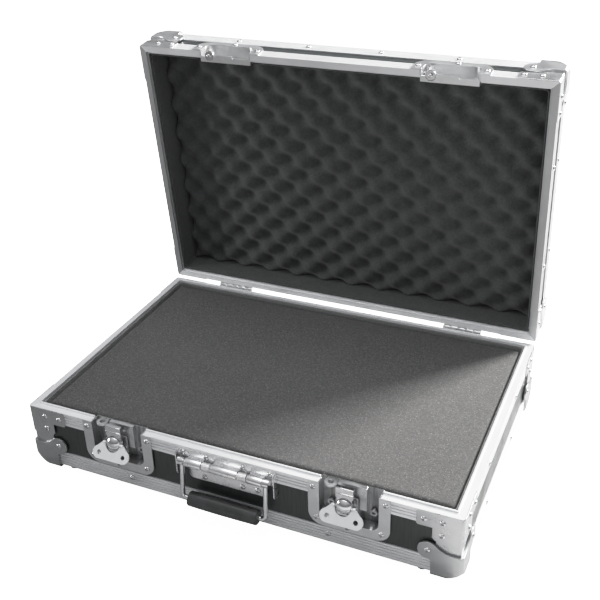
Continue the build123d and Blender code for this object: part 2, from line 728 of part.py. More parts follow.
# ---------------------------------------------------------------- assembly
def build_base():
    """All nodes of the base tray, in the building frame."""
    handle_rivets, handle_holes = rivets(handle_spots())
    latch_rivets, latch_holes = rivets(dish_spots())
    spots = corner_spots(BASE_H, True) + hinge_spots()
    spots += edge_spots((-132, 0, 121), (115, 242))
    spots += rim_spots(BASE_H, (-100, 0, 100), (110, 247))
    tray_rivets, tray_holes = rivets(spots)
    holes = handle_holes + latch_holes + tray_holes + foot_holes()

    floor, front, back, sides = panels(BASE_H, BASE_H - SKIN)
    for s in (-1, 1):
        c = s * LATCH_X
        front -= box(c - 36.2, c + 36.2, 0, 20, DISH_LOW - DISH_T - 1, BASE_H)
    rim_front, rim_back, rim_sides = rims(BASE_H, True)
    edge_front, edge_back, edge_sides, posts = shell_pieces(BASE_H)
    corner = ball_corner(BASE_H, BASE_LOBE_V)
    nodes = {
        "base_floor_panel": [floor],
        "base_front_panel": [front],
        "base_back_panel": [back],
        "base_side_panels": sides,
        "base_rim_front": [rim_front],
        "base_rim_back": [rim_back],
        "base_rim_sides": [rim_sides],
        "base_edge_front": [edge_front],
        "base_edge_back": [edge_back],
        "base_edge_sides": edge_sides,
        "base_corner_angles": posts,
        "base_braces": four(brace(BASE_H, True)),
        "base_ball_corners": four(corner),
        "handle_plate": [handle_plate()],
        "hinge_base_leaves": [Pos(s * HINGE_X, 0, 0) * hinge_base_leaf() for s in (-1, 1)],
    }
    for side, s in (("left", -1), ("right", 1)):
        nodes[f"latch_dish_{side}"] = [Pos(s * LATCH_X, 0, 0) * latch_dish()]
    nodes = {name: [cut(piece, holes) for piece in pieces] for name, pieces in nodes.items()}
    for side, s in (("left", -1), ("right", 1)):
        place = Pos(s * LATCH_X, 0, 0)
        nodes[f"latch_housing_{side}"] = [place * latch_housing()]
        nodes[f"latch_slide_{side}"] = [place * latch_slide()]
        nodes[f"latch_hook_{side}"] = [place * latch_hook()]
        nodes[f"latch_key_{side}"] = [place * latch_key()]
        nodes[f"latch_wing_{side}"] = [place * latch_wing()]
    foam = box(15 - HALF_W, HALF_W - 15, 19, DEPTH - 16, WALL + 0.1, FOAM_TOP)
    nodes["base_liner"] = [liner(BASE_H, BASE_H - 0.2)]
    nodes["base_foam_block"] = [foam]
    nodes["base_rivets"] = tray_rivets
    nodes["latch_rivets"] = latch_rivets
    nodes["handle_rivets"] = handle_rivets
    nodes["handle_bail"] = [handle_bail()]
    nodes["handle_grip"] = [handle_grip()]
    nodes["handle_springs"] = handle_springs()
    nodes["rubber_feet"] = rubber_feet()
    nodes["foot_screws"] = foot_screws()
    pin = rod_x(HINGE_Y, HINGE_Z, PIN_R, -HINGE_W / 2, HINGE_W / 2)
    nodes["hinge_pins"] = [Pos(s * HINGE_X, 0, 0) * pin for s in (-1, 1)]
    return nodes


def build_lid_tray():
    """All nodes of the lid as a tray standing on its outer face."""
    spots = corner_spots(LID_H, False) + lid_dish_spots() + hinge_lid_spots()
    spots += edge_spots((-145.5, -48, 48, 145.5), (115, 242))
    spots += rim_spots(LID_H, (-100, 0, 100), (110, 247))
    tray_rivets, holes = rivets(spots)
    floor, front, back, sides = panels(LID_H, LID_H - 4.0)
    for s in (-1, 1):
        c = s * LATCH_X
        front -= box(c - 36.2, c + 36.2, 0, 20, LID_H - LID_DISH_H - DISH_T - 1, LID_H)
    rim_front, rim_back, rim_sides = rims(LID_H, False)
    edge_front, edge_back, edge_sides, posts = shell_pieces(LID_H)
    nodes = {
        "lid_top_panel": [floor],
        "lid_front_panel": [front],
        "lid_back_panel": [back],
        "lid_side_panels": sides,
        "lid_rim_front": [rim_front],
        "lid_rim_back": [rim_back],
        "lid_rim_sides": [rim_sides],
        "lid_edge_front": [edge_front],
        "lid_edge_back": [edge_back],
        "lid_edge_sides": edge_sides,
        "lid_corner_angles": posts,
        "lid_braces": four(brace(LID_H, False)),
        "lid_ball_corners": four(ball_corner(LID_H, LID_LOBE_V)),
        "lid_latch_dishes": [Pos(s * LATCH_X, 0, 0) * lid_dish() for s in (-1, 1)],
    }
    nodes = {name: [cut(piece, holes) for piece in pieces] for name, pieces in nodes.items()}
    nodes["lid_rivets"] = tray_rivets
    nodes["lid_liner"] = [liner(LID_H, LID_H - 3.2)]
    nodes["lid_foam"] = [box(14.6 - HALF_W, HALF_W - 14.6, 14.6, DEPTH - 14.6, WALL + 0.1, 28.0)]
    nodes["lid_locating_pins"] = [Pos(s * LATCH_X, 0, 0) * locating_pin() for s in (-1, 1)]
    return nodes


def turned_over(shape):
    """A piece of the lid tray put mouth down on the base, shut."""
    return Pos(0, 0, BASE_H + MOUTH_GAP + LID_H) * mirror(shape, Plane.XY)


def swung_open(shape):
    """A shut piece of the lid turned about the hinge pins to its rest angle."""
    axis = Pos(0, HINGE_Y, HINGE_Z)
    return axis * Rot(-OPEN_DEG, 0, 0) * axis.inverse() * shape


def build():
    """Every node at rest, still in the building frame."""
    nodes = build_base()
    for name, pieces in build_lid_tray().items():
        nodes[name] = [swung_open(turned_over(p)) for p in pieces]
    holes = rivets(hinge_lid_spots())[1]
    lid_holes = [turned_over(h) for h in holes]
    leaves = [Pos(s * HINGE_X, 0, 0) * hinge_lid_leaf() for s in (-1, 1)]
    nodes["hinge_lid_leaves"] = [swung_open(cut(leaf, lid_holes)) for leaf in leaves]
    return nodes


def centre_shift(nodes):
    """How far to move everything so that the box's bottom centre is the origin."""
    boxes = [p.bounding_box() for pieces in nodes.values() for p in pieces]
    y0 = min(b.min.Y for b in boxes)
    y1 = max(b.max.Y for b in boxes)
    return -(y0 + y1) / 2


def main():
    """Write one STEP file for each node."""
    nodes = build()
    shift = centre_shift(nodes)
    place = Pos(0, shift, FOOT_H)
    for name, pieces in nodes.items():
        solids = [s for piece in pieces for s in (place * piece).solids()]
        export_step(Compound(children=solids), f"parts/{name}.step")
    print(f"nodes {len(nodes)}, moved in Y by {shift:.4f} mm")


if __name__ == "__main__":
    main()
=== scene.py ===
"""Looks of a small flight case: laminated panels in aluminium, steel fittings and foam linings."""

import json
import math

import bmesh
import bpy
from mathutils import Matrix, Vector, noise


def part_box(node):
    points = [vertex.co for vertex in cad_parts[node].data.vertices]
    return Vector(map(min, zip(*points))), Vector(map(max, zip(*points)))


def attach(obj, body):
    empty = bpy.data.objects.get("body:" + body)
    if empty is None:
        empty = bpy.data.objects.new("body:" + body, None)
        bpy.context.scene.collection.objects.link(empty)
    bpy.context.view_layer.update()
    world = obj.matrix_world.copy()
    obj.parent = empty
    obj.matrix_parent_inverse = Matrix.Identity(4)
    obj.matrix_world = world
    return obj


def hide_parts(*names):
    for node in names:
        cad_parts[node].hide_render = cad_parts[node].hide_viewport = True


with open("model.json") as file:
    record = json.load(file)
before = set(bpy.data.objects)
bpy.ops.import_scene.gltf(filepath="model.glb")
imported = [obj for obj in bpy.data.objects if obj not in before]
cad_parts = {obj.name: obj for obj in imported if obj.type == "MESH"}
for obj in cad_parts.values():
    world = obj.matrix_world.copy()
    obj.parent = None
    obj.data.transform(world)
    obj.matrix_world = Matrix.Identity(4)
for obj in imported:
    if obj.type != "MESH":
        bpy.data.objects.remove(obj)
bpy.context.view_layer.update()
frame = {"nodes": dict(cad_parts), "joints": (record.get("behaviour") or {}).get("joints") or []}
NODES = frame["nodes"]
MM = 0.001
LID_TURN = math.radians(84.0)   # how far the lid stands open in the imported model
FRONT_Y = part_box("base_front_panel")[0].y   # the base's front face


# Camera and light

CAMERA_AT = (0.412, -0.8967, 0.7368)
CAMERA_YAW = math.radians(-24.39)
CAMERA_DOWN = math.radians(29.19)
CAMERA_ROLL = math.radians(1.71)
LENS_MM = 55.0
FLOOR_SIZE = 30.0
FLOOR_DROP = 0.4 * MM   # keeps the floor just clear of the feet
FLOOR_GLOW = 2.2
BRIGHTEST = 2.6         # the light level that the tone curve takes to white
SHOULDER = ((0.3, 0.3), (0.6, 0.58), (1.0, 0.80), (1.6, 0.93))   # light level, and what it is shown as
FLOOR_MIRRORED = ((-0.50, 0.19), (0.16, 0.49))   # the grey that metal mirrors, by place along x: painted shade that darkens it to the left
BACKDROP_GLOW = 2.6
DOME = ((0.0, (0.28, 0.28, 0.285)), (0.35, (0.37, 0.37, 0.375)), (0.85, (0.95, 0.97, 1.0)))   # by height
DOME_STRENGTH = 0.66

# Name, place, aim, size in metres, watts and colour.
LIGHTS = (
    ("key", (1.15, 1.25, 1.15), (0, 0, 0.1), (0.45, 0.45), 125.0, (1.0, 0.985, 0.97)),
    ("overhead", (0.0, 0.1, 1.9), (0, 0, 0.1), (1.6, 1.2), 24.0, (1, 1, 1)),
    ("left", (-1.6, -0.5, 0.25), (0, 0.15, 0.25), (0.4, 0.5), 10.0, (1, 1, 1)),
)


def add_camera():
    """The viewing angle, from yaw, pitch and roll."""
    across = Vector((math.cos(CAMERA_YAW), -math.sin(CAMERA_YAW), 0))
    ahead = Vector((math.sin(CAMERA_YAW) * math.cos(CAMERA_DOWN),
                    math.cos(CAMERA_YAW) * math.cos(CAMERA_DOWN), -math.sin(CAMERA_DOWN)))
    down = ahead.cross(across)
    right = across * math.cos(CAMERA_ROLL) + down * math.sin(CAMERA_ROLL)
    up = across * math.sin(CAMERA_ROLL) - down * math.cos(CAMERA_ROLL)
    data = bpy.data.cameras.new("camera")
    data.lens = LENS_MM
    data.sensor_width = 36.0
    data.clip_start = 0.05
    camera = bpy.data.objects.new("camera", data)
    turn = Matrix((right, up, -ahead)).transposed().to_4x4()
    camera.matrix_world = Matrix.Translation(CAMERA_AT) @ turn
    bpy.context.scene.collection.objects.link(camera)
    bpy.context.scene.camera = camera


def set_tone():
    """A film-like shoulder: the brightest metal keeps its shape and doesn't clip."""
    view = bpy.context.scene.view_settings
    view.view_transform = "Standard"
    view.use_curve_mapping = True
    mapping = view.curve_mapping
    mapping.white_level = (BRIGHTEST, BRIGHTEST, BRIGHTEST)
    curve = mapping.curves[3]
    for at, level in SHOULDER:
        curve.points.new(at / BRIGHTEST, level)
    mapping.update()


def add_panel_light(name, at, aim, size, power, colour):
    """A soft rectangular light that points from one place to another."""
    data = bpy.data.lights.new(name, "AREA")
    data.shape = "RECTANGLE"
    data.size, data.size_y = size
    data.energy = power
    data.color = colour
    light = bpy.data.objects.new(name, data)
    way = Vector(aim) - Vector(at)
    light.matrix_world = Matrix.Translation(at) @ way.to_track_quat("-Z", "Y").to_matrix().to_4x4()
    bpy.context.scene.collection.objects.link(light)


def add_world():
    """A studio dome: bright overhead, greyer towards the horizon. As it is looked at, it is white."""
    world = bpy.data.worlds.new("studio")
    world.use_nodes = True
    bpy.context.scene.world = world
    nodes, links = world.node_tree.nodes, world.node_tree.links
    place = nodes.new("ShaderNodeTexCoord")
    split = nodes.new("ShaderNodeSeparateXYZ")
    ramp = nodes.new("ShaderNodeValToRGB")
    links.new(place.outputs["Generated"], split.inputs[0])
    links.new(split.outputs["Z"], ramp.inputs["Fac"])
    stops = ramp.color_ramp.elements
    while len(stops) < len(DOME):
        stops.new(1.0)
    for stop, (height, colour) in zip(stops, DOME):
        stop.position = height
        stop.color = (*colour, 1)
    dome = nodes["Background"]
    dome.inputs["Strength"].default_value = DOME_STRENGTH
    links.new(ramp.outputs["Color"], dome.inputs["Color"])
    backdrop = nodes.new("ShaderNodeBackground")
    backdrop.inputs["Strength"].default_value = BACKDROP_GLOW
    rays = nodes.new("ShaderNodeLightPath")
    either = nodes.new("ShaderNodeMixShader")
    links.new(rays.outputs["Is Camera Ray"], either.inputs["Fac"])
    links.new(dome.outputs["Background"], either.inputs[1])
    links.new(backdrop.outputs["Background"], either.inputs[2])
    links.new(either.outputs["Shader"], nodes["World Output"].inputs["Surface"])


def add_floor():
    """A plain pale floor. It looks white, and the metal mirrors it as a grey that painted shade darkens to
    the left.
    """
    bpy.ops.mesh.primitive_plane_add(size=FLOOR_SIZE, location=(0, 0, -FLOOR_DROP))
    floor = bpy.context.object
    floor.name = "floor"
    material = bpy.data.materials.new("floor_white")
    material.use_nodes = True
    nodes, links = material.node_tree.nodes, material.node_tree.links
    seen = nodes["Principled BSDF"]
    seen.inputs["Base Color"].default_value = (0.82, 0.82, 0.82, 1)
    seen.inputs["Roughness"].default_value = 0.9
    seen.inputs["Specular IOR Level"].default_value = 0.1
    seen.inputs["Emission Color"].default_value = (1, 1, 1, 1)
    seen.inputs["Emission Strength"].default_value = FLOOR_GLOW
    mirrored = nodes.new("ShaderNodeBsdfDiffuse")
    split = nodes.new("ShaderNodeSeparateXYZ")
    links.new(nodes.new("ShaderNodeTexCoord").outputs["Object"], split.inputs[0])
    # Painted shade: the mirrored grey darkens towards the left.
    fade = nodes.new("ShaderNodeMapRange")
    (left, dark), (right, light) = FLOOR_MIRRORED
    for socket, number in (("From Min", left), ("From Max", right), ("To Min", dark), ("To Max", light)):
        fade.inputs[socket].default_value = number
    links.new(split.outputs["X"], fade.inputs["Value"])
    links.new(fade.outputs["Result"], mirrored.inputs["Color"])
    rays = nodes.new("ShaderNodeLightPath")
    either = nodes.new("ShaderNodeMixShader")
    links.new(rays.outputs["Is Camera Ray"], either.inputs["Fac"])
    links.new(mirrored.outputs["BSDF"], either.inputs[1])
    links.new(seen.outputs["BSDF"], either.inputs[2])
    links.new(either.outputs["Shader"], nodes["Material Output"].inputs["Surface"])
    floor.data.materials.append(material)


# Procedural materials

class Surface:
    """A material with one Principled shader and the textures that feed it, in the object's own space."""

    def __init__(self, name, colour, rough, metal=0.0):
        self.material = bpy.data.materials.new(name)
        self.material.use_nodes = True
        self.material.diffuse_color = (*colour, 1)
        self.nodes = self.material.node_tree.nodes
        self.links = self.material.node_tree.links
        self.shader = self.nodes["Principled BSDF"]
        self.set("Base Color", (*colour, 1))
        self.set("Roughness", rough)
        self.set("Metallic", metal)
        self.height = None

    def set(self, socket, value):
        self.shader.inputs[socket].default_value = value

    def place(self, scale=(1, 1, 1), turn=0.0):
        """Object coordinates turned about X by an angle, then scaled."""
        source = self.nodes.new("ShaderNodeTexCoord").outputs["Object"]
        if turn:
            turned = self.nodes.new("ShaderNodeMapping")
            turned.inputs["Rotation"].default_value = (turn, 0, 0)
            self.links.new(source, turned.inputs["Vector"])
            source = turned.outputs["Vector"]
        sized = self.nodes.new("ShaderNodeMapping")
        sized.inputs["Scale"].default_value = scale
        self.links.new(source, sized.inputs["Vector"])
        return sized.outputs["Vector"]

    def noise(self, scale, detail, where=None, rough=0.5):
        node = self.nodes.new("ShaderNodeTexNoise")
        node.inputs["Scale"].default_value = scale
        node.inputs["Detail"].default_value = detail
        node.inputs["Roughness"].default_value = rough
        self.links.new(where or self.place(), node.inputs["Vector"])
        return node.outputs["Fac"]

    def cells(self, scale):
        node = self.nodes.new("ShaderNodeTexVoronoi")
        node.inputs["Scale"].default_value = scale
        self.links.new(self.place(), node.inputs["Vector"])
        return node.outputs["Distance"]

    def spread(self, value, low, high, to_low=0.0, to_high=1.0):
        """A value brought from one range to another, and held inside it."""
        node = self.nodes.new("ShaderNodeMapRange")
        limits = (("From Min", low), ("From Max", high), ("To Min", to_low), ("To Max", to_high))
        for socket, number in limits:
            node.inputs[socket].default_value = number
        self.links.new(value, node.inputs["Value"])
        return node.outputs["Result"]

    def blend(self, share, first, second):
        """A colour between two, by a share. Either may be a colour or another node's output."""
        node = self.nodes.new("ShaderNodeMix")
        node.data_type = "RGBA"
        self.links.new(share, node.inputs["Factor"])
        for socket, colour in ((node.inputs["A"], first), (node.inputs["B"], second)):
            if isinstance(colour, tuple):
                socket.default_value = (*colour, 1)
            else:
                self.links.new(colour, socket)
        return node.outputs["Result"]

    def colour(self, output):
        self.links.new(output, self.shader.inputs["Base Color"])

    def roughness(self, output):
        self.links.new(output, self.shader.inputs["Roughness"])

    def bump(self, value, depth, strength):
        """Fine relief of a depth in metres, on top of any relief given before."""
        node = self.nodes.new("ShaderNodeBump")
        node.inputs["Distance"].default_value = depth
        node.inputs["Strength"].default_value = strength
        self.links.new(value, node.inputs["Height"])
        if self.height:
            self.links.new(self.height, node.inputs["Normal"])
        self.height = node.outputs["Normal"]
        self.links.new(self.height, self.shader.inputs["Normal"])


def dress(material, *names):
    """Gives CAD nodes a material."""
    for name in names:
        node = NODES[name]
        node.data.materials.clear()
        node.data.materials.append(material)


def scaled(colour, share):
    """A colour made darker or lighter."""
    return tuple(min(1.0, c * share) for c in colour)


def extruded(name, along, turn, share, metal):
    """Satin aluminium with the die's fine lines running along x, y or z, faint scuffs and handling haze."""
    fine = 2600.0
    long = 14.0
    stretch = tuple(long if axis == along else fine for axis in "xyz")
    # share and metal differ between runs of the same aluminium, as painted light and shade.
    s = Surface(name, scaled((0.85, 0.855, 0.865), share), 0.38, metal)
    lines = s.noise(1.0, 3.0, s.place(stretch, turn))
    haze = s.noise(22.0, 4.0)
    scuffs = s.noise(1.0, 2.0, s.place((260.0, 260.0, 260.0)), 0.7)
    dull_haze_and_recess_shade, clear = scaled((0.80, 0.805, 0.815), share), scaled((0.90, 0.905, 0.915), share)
    s.colour(s.blend(s.spread(haze, 0.3, 0.7), dull_haze_and_recess_shade, clear))
    both = s.nodes.new("ShaderNodeMath")
    both.operation = "ADD"
    s.links.new(s.spread(lines, 0.3, 0.7, 0.32, 0.44), both.inputs[0])
    s.links.new(s.spread(scuffs, 0.62, 0.75, 0.0, 0.14), both.inputs[1])
    s.roughness(both.outputs[0])
    s.bump(lines, 0.00006, 0.6)
    return s.material


def zinc_grey(level):
    """Zinc's faintly blue grey at a lightness."""
    return (level, level + 0.005, level + 0.01)


def plated(name, colour, rough):
    """Zinc-plated pressed steel: clouded lustre, fine roll grain and small handling marks."""
    s = Surface(name, colour, rough, 1.0)
    clouds = s.noise(60.0, 5.0)
    grain = s.noise(1500.0, 2.0)
    s.colour(s.blend(s.spread(clouds, 0.3, 0.7), scaled(colour, 0.93), scaled(colour, 1.07)))
    s.roughness(s.spread(clouds, 0.3, 0.7, rough - 0.03, rough + 0.05))
    s.bump(grain, 0.00002, 0.3)
    return s.material


def recessed(name, colour, rough, front, deep):
    """Zinc plate with painted shade that darkens it towards the back of a recess, from a front plane to a
    depth along y.
    """
    s = Surface(name, colour, rough, 1.0)
    source = s.nodes.new("ShaderNodeTexCoord").outputs["Object"]
    split = s.nodes.new("ShaderNodeSeparateXYZ")
    s.links.new(source, split.inputs[0])
    clouds = s.noise(60.0, 5.0)
    unshaded = s.blend(s.spread(clouds, 0.3, 0.7), scaled(colour, 0.93), scaled(colour, 1.07))
    # Painted shade: the zinc darkened in streaks towards the back of the recess, blended in by depth along
    # y.
    streaks = s.noise(1.0, 3.0, s.place((240.0, 240.0, 18.0)))
    dull_haze_and_recess_shade = s.blend(s.spread(streaks, 0.35, 0.65), scaled(colour, 0.30), scaled(colour, 0.72))
    s.colour(s.blend(s.spread(split.outputs["Y"], front, front + deep), unshaded, dull_haze_and_recess_shade))
    s.roughness(s.spread(clouds, 0.3, 0.7, rough - 0.03, rough + 0.05))
    s.bump(s.noise(1500.0, 2.0), 0.00002, 0.3)
    return s.material


def polished(name):
    """Bright nickel plate with the faint waviness of a pressed and buffed part."""
    s = Surface(name, (0.78, 0.78, 0.79), 0.12, 1.0)
    waves = s.noise(160.0, 2.0)
    smears = s.noise(420.0, 4.0)
    s.colour(s.blend(s.spread(smears, 0.35, 0.7), (0.80, 0.80, 0.81), (0.70, 0.70, 0.71)))
    s.roughness(s.spread(smears, 0.35, 0.75, 0.09, 0.24))
    s.bump(waves, 0.00006, 0.25)
    return s.material


def blasted(name):
    """The wings' pale matte finish: bead-blasted zinc with a fine even tooth."""
    s = Surface(name, (0.86, 0.87, 0.875), 0.5, 0.35)
    tooth = s.noise(2400.0, 2.0)
    clouds = s.noise(90.0, 3.0)
    s.colour(s.blend(s.spread(clouds, 0.3, 0.7), (0.84, 0.85, 0.86), (0.91, 0.92, 0.925)))
    s.roughness(s.spread(tooth, 0.3, 0.7, 0.44, 0.58))
    s.bump(tooth, 0.00003, 0.5)
    return s.material


def laminate(name, turn=0.0):
    """Black laminate on plywood: a hard fine-pebbled skin with faint upright brushing and rub marks."""
    s = Surface(name, (0.022, 0.026, 0.026), 0.42)
    pebbles = s.cells(1100.0)
    brushing = s.noise(1.0, 3.0, s.place((900.0, 900.0, 40.0), turn))
    rubs = s.noise(35.0, 6.0, rough=0.65)
    dark = s.blend(s.spread(brushing, 0.3, 0.75), (0.016, 0.020, 0.020), (0.036, 0.041, 0.040))
    s.colour(s.blend(s.spread(rubs, 0.62, 0.78, 0.0, 0.5), dark, (0.065, 0.068, 0.066)))
    s.roughness(s.spread(rubs, 0.35, 0.7, 0.30, 0.46))
    s.set("Specular IOR Level", 0.62)
    s.bump(pebbles, 0.00010, 0.5)
    return s.material


def grip_plastic(name):
    """Moulded black grip: soft gloss with a fine spark-eroded grain."""
    s = Surface(name, (0.022, 0.023, 0.023), 0.38)
    grain = s.noise(1600.0, 3.0)
    wear = s.noise(50.0, 4.0)
    s.colour(s.blend(s.spread(wear, 0.4, 0.7), (0.034, 0.035, 0.035), (0.064, 0.066, 0.066)))
    s.roughness(s.spread(wear, 0.35, 0.7, 0.36, 0.50))
    s.bump(grain, 0.00005, 0.4)
    return s.material


def black_rubber(name):
    """Foot rubber: dull, dusty at the edges of its grain."""
    s = Surface(name, (0.018, 0.018, 0.018), 0.85)
    dust = s.noise(300.0, 4.0)
    s.colour(s.blend(s.spread(dust, 0.45, 0.75), (0.014, 0.014, 0.014), (0.045, 0.044, 0.042)))
    s.bump(dust, 0.00015, 0.4)
    return s.material


def foam_surface(name, dark, light, glint_colour, glint_reach):
    """Open-cell foam: a fine sponge of pores, with painted glints, light specks in the colour where cell
    walls catch the light.
    """
    s = Surface(name, dark, 0.95)
    pores = s.cells(900.0)
    sponge = s.noise(700.0, 4.0, rough=0.7)
    patches = s.noise(11.0, 3.0)
    glints = s.cells(430.0)
    coarse = s.noise(330.0, 3.0, rough=0.6)
    body = s.blend(s.spread(sponge, 0.3, 0.7), dark, light)
    body = s.blend(s.spread(coarse, 0.44, 0.62, 0.0, 0.9), body, light)
    worn = s.blend(s.spread(patches, 0.35, 0.7, 0.0, 0.22), body, light)
    # Painted glints: light specks blended into the colour, for cell walls that catch the light.
    s.colour(s.blend(s.spread(glints, 0.09, 0.20, glint_reach, 0.0), worn, glint_colour))
    s.set("Specular IOR Level", 0.15)
    s.set("Sheen Weight", 0.12)
    s.set("Sheen Roughness", 0.6)
    s.bump(pores, 0.00035, 0.6)
    s.bump(sponge, 0.0003, 0.4)
    return s.material


def spring_wire(name):
    """Drawn spring steel, bright under a little oil."""
    s = Surface(name, (0.92, 0.92, 0.93), 0.30, 0.8)
    oil = s.noise(500.0, 3.0)
    s.roughness(s.spread(oil, 0.3, 0.7, 0.26, 0.42))
    s.colour(s.blend(s.spread(oil, 0.35, 0.7), (0.86, 0.86, 0.87), (0.96, 0.96, 0.96)))
    return s.material


# Each run of extrusion: the axis it runs along, how light it is drawn, and how metallic its skin is. Every
# run is the same aluminium; the lightness and the metal differ by run as painted light and shade.
EXTRUSIONS = {
    ("base", "rim_front"): ("x", 1.0, 0.48),
    ("base", "rim_back"): ("x", 1.0, 0.28),
    ("base", "rim_sides"): ("y", 0.90, 0.50),
    ("base", "edge_front"): ("x", 1.0, 0.60),
    ("base", "edge_back"): ("x", 1.0, 0.60),
    ("base", "edge_sides"): ("y", 0.90, 0.55),
    ("lid", "rim_front"): ("x", 0.95, 0.60),
    ("lid", "rim_back"): ("x", 1.0, 0.30),
    ("lid", "rim_sides"): ("y", 0.50, 0.60),
    ("lid", "edge_front"): ("x", 0.97, 0.60),
    ("lid", "edge_back"): ("x", 1.0, 0.60),
    ("lid", "edge_sides"): ("y", 0.68, 0.60),
}


def dress_frame():
    """Every CAD node's material, by what it is made of, with lighter and darker copies of some as painted
    light and shade.
    """
    for (tray, part), (along, share, metal) in EXTRUSIONS.items():
        turn = -LID_TURN if tray == "lid" else 0.0
        name = tray + "_" + part
        dress(extruded(name + "_aluminium", along, turn, share, metal), name)
    skin = laminate("black_laminate")
    lid_skin = laminate("black_laminate_lid", -LID_TURN)
    dress(skin, "base_floor_panel", "base_front_panel", "base_back_panel", "base_side_panels")
    dress(lid_skin, "lid_top_panel", "lid_front_panel", "lid_back_panel", "lid_side_panels")
    # The lid's corners and braces are lighter copies of the base's zinc: painted light on the same parts.
    for tray, corner_grey, brace_grey in (("base", 0.45, 0.52), ("lid", 0.70, 0.76)):
        corners = plated(tray + "_corner_zinc", zinc_grey(corner_grey), 0.33)
        braces = plated(tray + "_brace_zinc", zinc_grey(brace_grey), 0.28)
        dress(corners, tray + "_ball_corners")
        dress(braces, tray + "_braces", tray + "_corner_angles")
    pressed = plated("pressed_steel_zinc", zinc_grey(0.66), 0.30)
    handle = plated("handle_steel_zinc", (0.88, 0.88, 0.885), 0.26)
    # The latch dishes carry painted shade towards the back of their recesses.
    dish = recessed("latch_dish_zinc", zinc_grey(0.66), 0.30, FRONT_Y + 0.5 * MM, 11.0 * MM)
    dress(pressed, "hinge_base_leaves", "hinge_lid_leaves")
    dress(handle, "handle_plate")
    # The lid's dishes are a lighter copy of the dishes' zinc: painted light.
    dress(plated("lid_dish_zinc", zinc_grey(0.74), 0.36), "lid_latch_dishes")
    rivet = plated("rivet_steel", (0.66, 0.66, 0.67), 0.24)
    dress(rivet, "base_rivets", "lid_rivets", "latch_rivets", "handle_rivets", "lid_locating_pins")
    bright = polished("bright_nickel")
    dress(bright, "handle_bail")
    plain = plated("plain_steel", (0.52, 0.52, 0.53), 0.30)
    dress(plain, "hinge_pins", "foot_screws")
    wing = blasted("blasted_wing")
    for side in ("left", "right"):
        dress(dish, "latch_dish_" + side)
        dress(plain, "latch_slide_" + side)
        dress(pressed, "latch_housing_" + side)
        dress(bright, "latch_key_" + side, "latch_hook_" + side)
        dress(wing, "latch_wing_" + side)
    dress(grip_plastic("moulded_grip"), "handle_grip")
    dress(black_rubber("foot_rubber"), "rubber_feet")


def soften(name, width):
    """Breaks a CAD node's sharp edges with a small bevel, so that they catch the light."""
    node = NODES[name]
    weld = node.modifiers.new("weld", "WELD")
    weld.merge_threshold = 0.002 * MM
    bevel = node.modifiers.new("bevel", "BEVEL")
    bevel.width = width
    bevel.segments = 2
    bevel.limit_method = "ANGLE"
    bevel.angle_limit = math.radians(40)
    bevel.use_clamp_overlap = True
    bevel.harden_normals = True


# Mesh pieces

def as_object(name, mesh, material, body):
    """A new visible piece on a CAD body."""
    thing = bpy.data.objects.new(name, mesh)
    bpy.context.scene.collection.objects.link(thing)
    mesh.materials.append(material)
    for face in mesh.polygons:
        face.use_smooth = True
    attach(thing, body)
    return thing


def lid_place():
    """Where the shut lid's space goes when the lid stands open: a turn about the hinge."""
    hinge = next(j for j in frame["joints"] if j["name"] == "lid_hinge")
    pivot = Vector(hinge["pos_m"])
    turn = Matrix.Rotation(-LID_TURN, 4, "X")
    return Matrix.Translation(pivot) @ turn @ Matrix.Translation(-pivot)


LID_PLACE = lid_place()


def shut_box(node):
    """A lid node's lowest and highest corners with the lid swung shut."""
    back = LID_PLACE.inverted()
    points = [back @ v.co for v in NODES[node].data.vertices]
    low = Vector(min(p[i] for p in points) for i in range(3))
    high = Vector(max(p[i] for p in points) for i in range(3))
    return low, high


def rounded_slab(low, high, step, radius, top, bottom):
    """A closed slab: a grid for the top and one for the underside, joined round the sides.

    top(x, y) and bottom(x, y) give the two heights. The grid's rim is drawn in and down to round it."""
    columns = max(2, round((high.x - low.x) / step))
    rows = max(2, round((high.y - low.y) / step))
    mesh = bmesh.new()

    def sheet(height, sign):
        grid = []
        for j in range(rows + 1):
            line = []
            for i in range(columns + 1):
                x = low.x + (high.x - low.x) * i / columns
                y = low.y + (high.y - low.y) * j / rows
                edge = min(x - low.x, high.x - x, y - low.y, high.y - y)
                sink = 0.0
                if edge < radius:
                    sink = radius - math.sqrt(max(0.0, radius ** 2 - (radius - edge) ** 2))
                line.append(mesh.verts.new((x, y, height(x, y) - sign * sink)))
            grid.append(line)
        return grid

    upper, lower = sheet(top, 1), sheet(bottom, -1)
    for j in range(rows):
        for i in range(columns):
            mesh.faces.new((upper[j][i], upper[j][i + 1], upper[j + 1][i + 1], upper[j + 1][i]))
            mesh.faces.new((lower[j][i], lower[j + 1][i], lower[j + 1][i + 1], lower[j][i + 1]))

    def ring(grid):
        south = [grid[0][i] for i in range(columns)]
        east = [grid[j][columns] for j in range(rows)]
        north = [grid[rows][i] for i in range(columns, 0, -1)]
        west = [grid[j][0] for j in range(rows, 0, -1)]
        return south + east + north + west

    a, b = ring(upper), ring(lower)
    for k in range(len(a)):
        n = (k + 1) % len(a)
        mesh.faces.new((a[k], b[k], b[n], a[n]))
    return mesh


def finish_mesh(mesh, name, place=None):
    """A Blender mesh from a bmesh, moved by a matrix if one is given."""
    if place:
        mesh.transform(place)
    bmesh.ops.recalc_face_normals(mesh, faces=mesh.faces)
    data = bpy.data.meshes.new(name)
    mesh.to_mesh(data)
    mesh.free()
    return data


